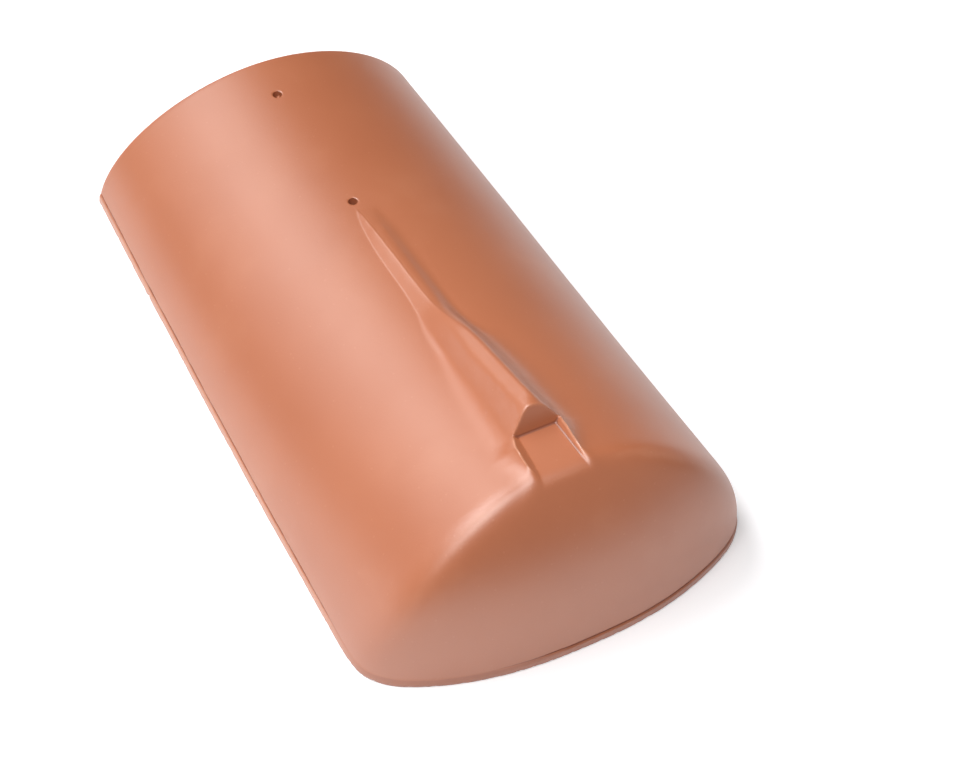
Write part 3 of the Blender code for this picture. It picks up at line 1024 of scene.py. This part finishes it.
def chips_tree():
    tree = new_tree("Chips along the rims", {**CHIPS, "Clay": None})
    given = tree.nodes.new("NodeGroupInput")
    size = {label: Number(tree, given.outputs[label]) for label in CHIPS}
    place = tree.nodes.new("GeometryNodeInputPosition")
    z = coordinates(tree, place.outputs[0])[2]
    low = maths("LESS_THAN", z, size["Strip"]) * maths("GREATER_THAN", z, OFF_GROUND)
    scatter = add_node(tree, "GeometryNodeDistributePointsOnFaces", distribute_method="POISSON")
    tree.links.new(given.outputs["Geometry"], scatter.inputs["Mesh"])
    connect(tree, low, scatter.inputs["Selection"])
    connect(tree, size["Apart"], scatter.inputs["Distance Min"])
    scatter.inputs["Density Max"].default_value = 90000.0
    scatter.inputs["Seed"].default_value = 11
    stone = tree.nodes.new("GeometryNodeMeshIcoSphere")
    stone.inputs["Subdivisions"].default_value = 1
    stone.inputs["Radius"].default_value = 1.0
    widths = add_node(tree, "FunctionNodeRandomValue", data_type="FLOAT")
    for label, slot in (("Smallest", "Min"), ("Largest", "Max")):
        socket = [s for s in widths.inputs if s.name == slot and s.enabled][0]
        connect(tree, size[label], socket)
    [s for s in widths.inputs if s.name == "Seed"][0].default_value = 5
    copies = tree.nodes.new("GeometryNodeInstanceOnPoints")
    tree.links.new(scatter.outputs["Points"], copies.inputs["Points"])
    tree.links.new(stone.outputs[0], copies.inputs["Instance"])
    tree.links.new(scatter.outputs["Rotation"], copies.inputs["Rotation"])
    tree.links.new([s for s in widths.outputs if s.enabled][0], copies.inputs["Scale"])
    finish_tree(tree, copies.outputs[0], given.outputs["Clay"])
    return tree


chips = grow("chips", chips_tree(), {**CHIPS, "Clay": CLAY}, start=tile)

# %% [markdown]
# Last comes the cutting. The exact solver is slower than the fast one, but it keeps the shell closed where
# the crumb and the chips only graze the surface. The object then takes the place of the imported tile, on
# the same body.

# %% Cut the hollow, the holes and the chips
SHARP_FROM = 38


def boolean(made, other, operation):
    """Joins or cuts one object with another, which is then removed."""
    modifier = made.modifiers.new(other.name, "BOOLEAN")
    modifier.operation, modifier.solver, modifier.object = operation, "EXACT", other
    to_plain_mesh(made)
    bpy.data.objects.remove(other, do_unlink=True)
    print(f"{operation.lower()}: {len(made.data.polygons)} faces")


boolean(tile, core, "DIFFERENCE")
boolean(tile, pins, "DIFFERENCE")
boolean(tile, crumb, "UNION")
boolean(tile, rim_chip, "DIFFERENCE")
boolean(tile, chips, "DIFFERENCE")
tile.data.shade_smooth()
tile.data.set_sharp_from_angle(angle=math.radians(SHARP_FROM))
tile.data.materials.clear()
tile.data.materials.append(CLAY)
triangles = sum(len(face.vertices) - 2 for face in tile.data.polygons)
print(f"tile: {triangles} triangles")
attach(tile, "root")
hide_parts("ridge_tile")

# %% [markdown]
# ## The studio
#
# The photograph has a white ground, soft light from above and a little from the left, and a camera high
# over the closed end's left corner. The camera is placed by its turn round the tile, its height over the
# horizon, its roll and its distance.

# %% Set the camera
TURN, HEIGHT, ROLL = (math.radians(angle) for angle in (-31.4285, 50.6313, 4.234))
DISTANCE = 1.5579
AIM = Vector((0.0215, -0.0412, 0.03))
FRAME_WIDTH = 965
FOCAL_PIXELS = 2859.88
SENSOR = 36.0


def place_camera():
    flat = math.cos(HEIGHT)
    behind = Vector((math.sin(TURN) * flat, -math.cos(TURN) * flat, math.sin(HEIGHT)))
    right = Vector((math.cos(TURN), math.sin(TURN), 0))
    up = behind.cross(right)
    rolled_right = math.cos(ROLL) * right + math.sin(ROLL) * up
    rolled_up = math.cos(ROLL) * up - math.sin(ROLL) * right
    data = bpy.data.cameras.new("camera")
    data.sensor_width = SENSOR
    data.lens = FOCAL_PIXELS / FRAME_WIDTH * SENSOR
    camera = add_object("camera", data)
    axes = Matrix((rolled_right, rolled_up, behind)).transposed()
    camera.matrix_world = Matrix.Translation(AIM + behind * DISTANCE) @ axes.to_4x4()
    bpy.context.scene.camera = camera
    print(f"camera: {data.lens:.1f} mm lens, {camera.location.length:.2f} m away")


place_camera()

# %% [markdown]
# The floor is one large pale square that glows a little, so it stays white under the tile as paper does in
# a light tent. The air gives a faint even light. Softboxes do the rest: a strong one high behind the left
# side draws the broad sheen on the barrel, smaller ones close by shape the shoulder, and two weak ones low
# on the right keep that side from going dark. Each is a turn and a height in degrees, a distance and a side
# in metres, and a power in watts.

# %% Lay the floor and light it
FLOOR_COLOUR = (0.93, 0.93, 0.94, 1)
FLOOR_GLOW = 0.28
FLOOR_HALF = 6.0
SKY_COLOUR = (0.95, 0.97, 1.0, 1)
SKY_STRENGTH = 0.10
TILE_MIDDLE = Vector((0.0, 0.0, 0.05))


def plain_floor():
    bm = bmesh.new()
    bmesh.ops.create_grid(bm, x_segments=1, y_segments=1, size=FLOOR_HALF)
    floor = add_object("floor", mesh_from("floor", bm))
    material = bpy.data.materials.new("pale floor")
    material.use_nodes = True
    shader = material.node_tree.nodes["Principled BSDF"]
    shader.inputs["Base Color"].default_value = FLOOR_COLOUR
    shader.inputs["Roughness"].default_value = 0.9
    shader.inputs["Specular IOR Level"].default_value = 0.1
    shader.inputs["Emission Color"].default_value = FLOOR_COLOUR
    shader.inputs["Emission Strength"].default_value = FLOOR_GLOW
    floor.data.materials.append(material)


def soft_light(name, place, side, watts):
    """A square softbox that faces the middle of the tile."""
    data = bpy.data.lights.new(name, "AREA")
    data.size, data.energy = side, watts
    light = add_object(name, data)
    light.location = place
    light.rotation_euler = (TILE_MIDDLE - place).to_track_quat("-Z", "Y").to_euler()


def plain_world():
    world = bpy.data.worlds.new("studio air")
    world.use_nodes = True
    air = world.node_tree.nodes["Background"]
    air.inputs["Color"].default_value = SKY_COLOUR
    air.inputs["Strength"].default_value = SKY_STRENGTH
    bpy.context.scene.world = world


SOFTBOXES = {
    "back left, high": (135, 60, 1.8, 0.9, 18.2),
    "back left, low": (135, 35, 1.8, 0.9, 2.8),
    "behind, near": (98, 47, 1.3, 0.5, 2.3),
    "left, near": (200, 52, 0.98, 0.5, 2.1),
    "above the closed end": (240, 68, 0.99, 0.5, 4.6),
    "front right, low": (315, 12, 1.8, 0.9, 0.8),
    "right, low": (0, 12, 1.8, 0.9, 0.9),
}
bpy.context.scene.view_settings.view_transform = "Standard"
plain_floor()
plain_world()
for name, (turn, height, distance, side, watts) in SOFTBOXES.items():
    turn, height = math.radians(turn), math.radians(height)
    flat = math.cos(height)
    towards = Vector((math.cos(turn) * flat, math.sin(turn) * flat, math.sin(height)))
    soft_light(name, towards * distance, side, watts)
print(f"studio ready, {len(SOFTBOXES)} softboxes")
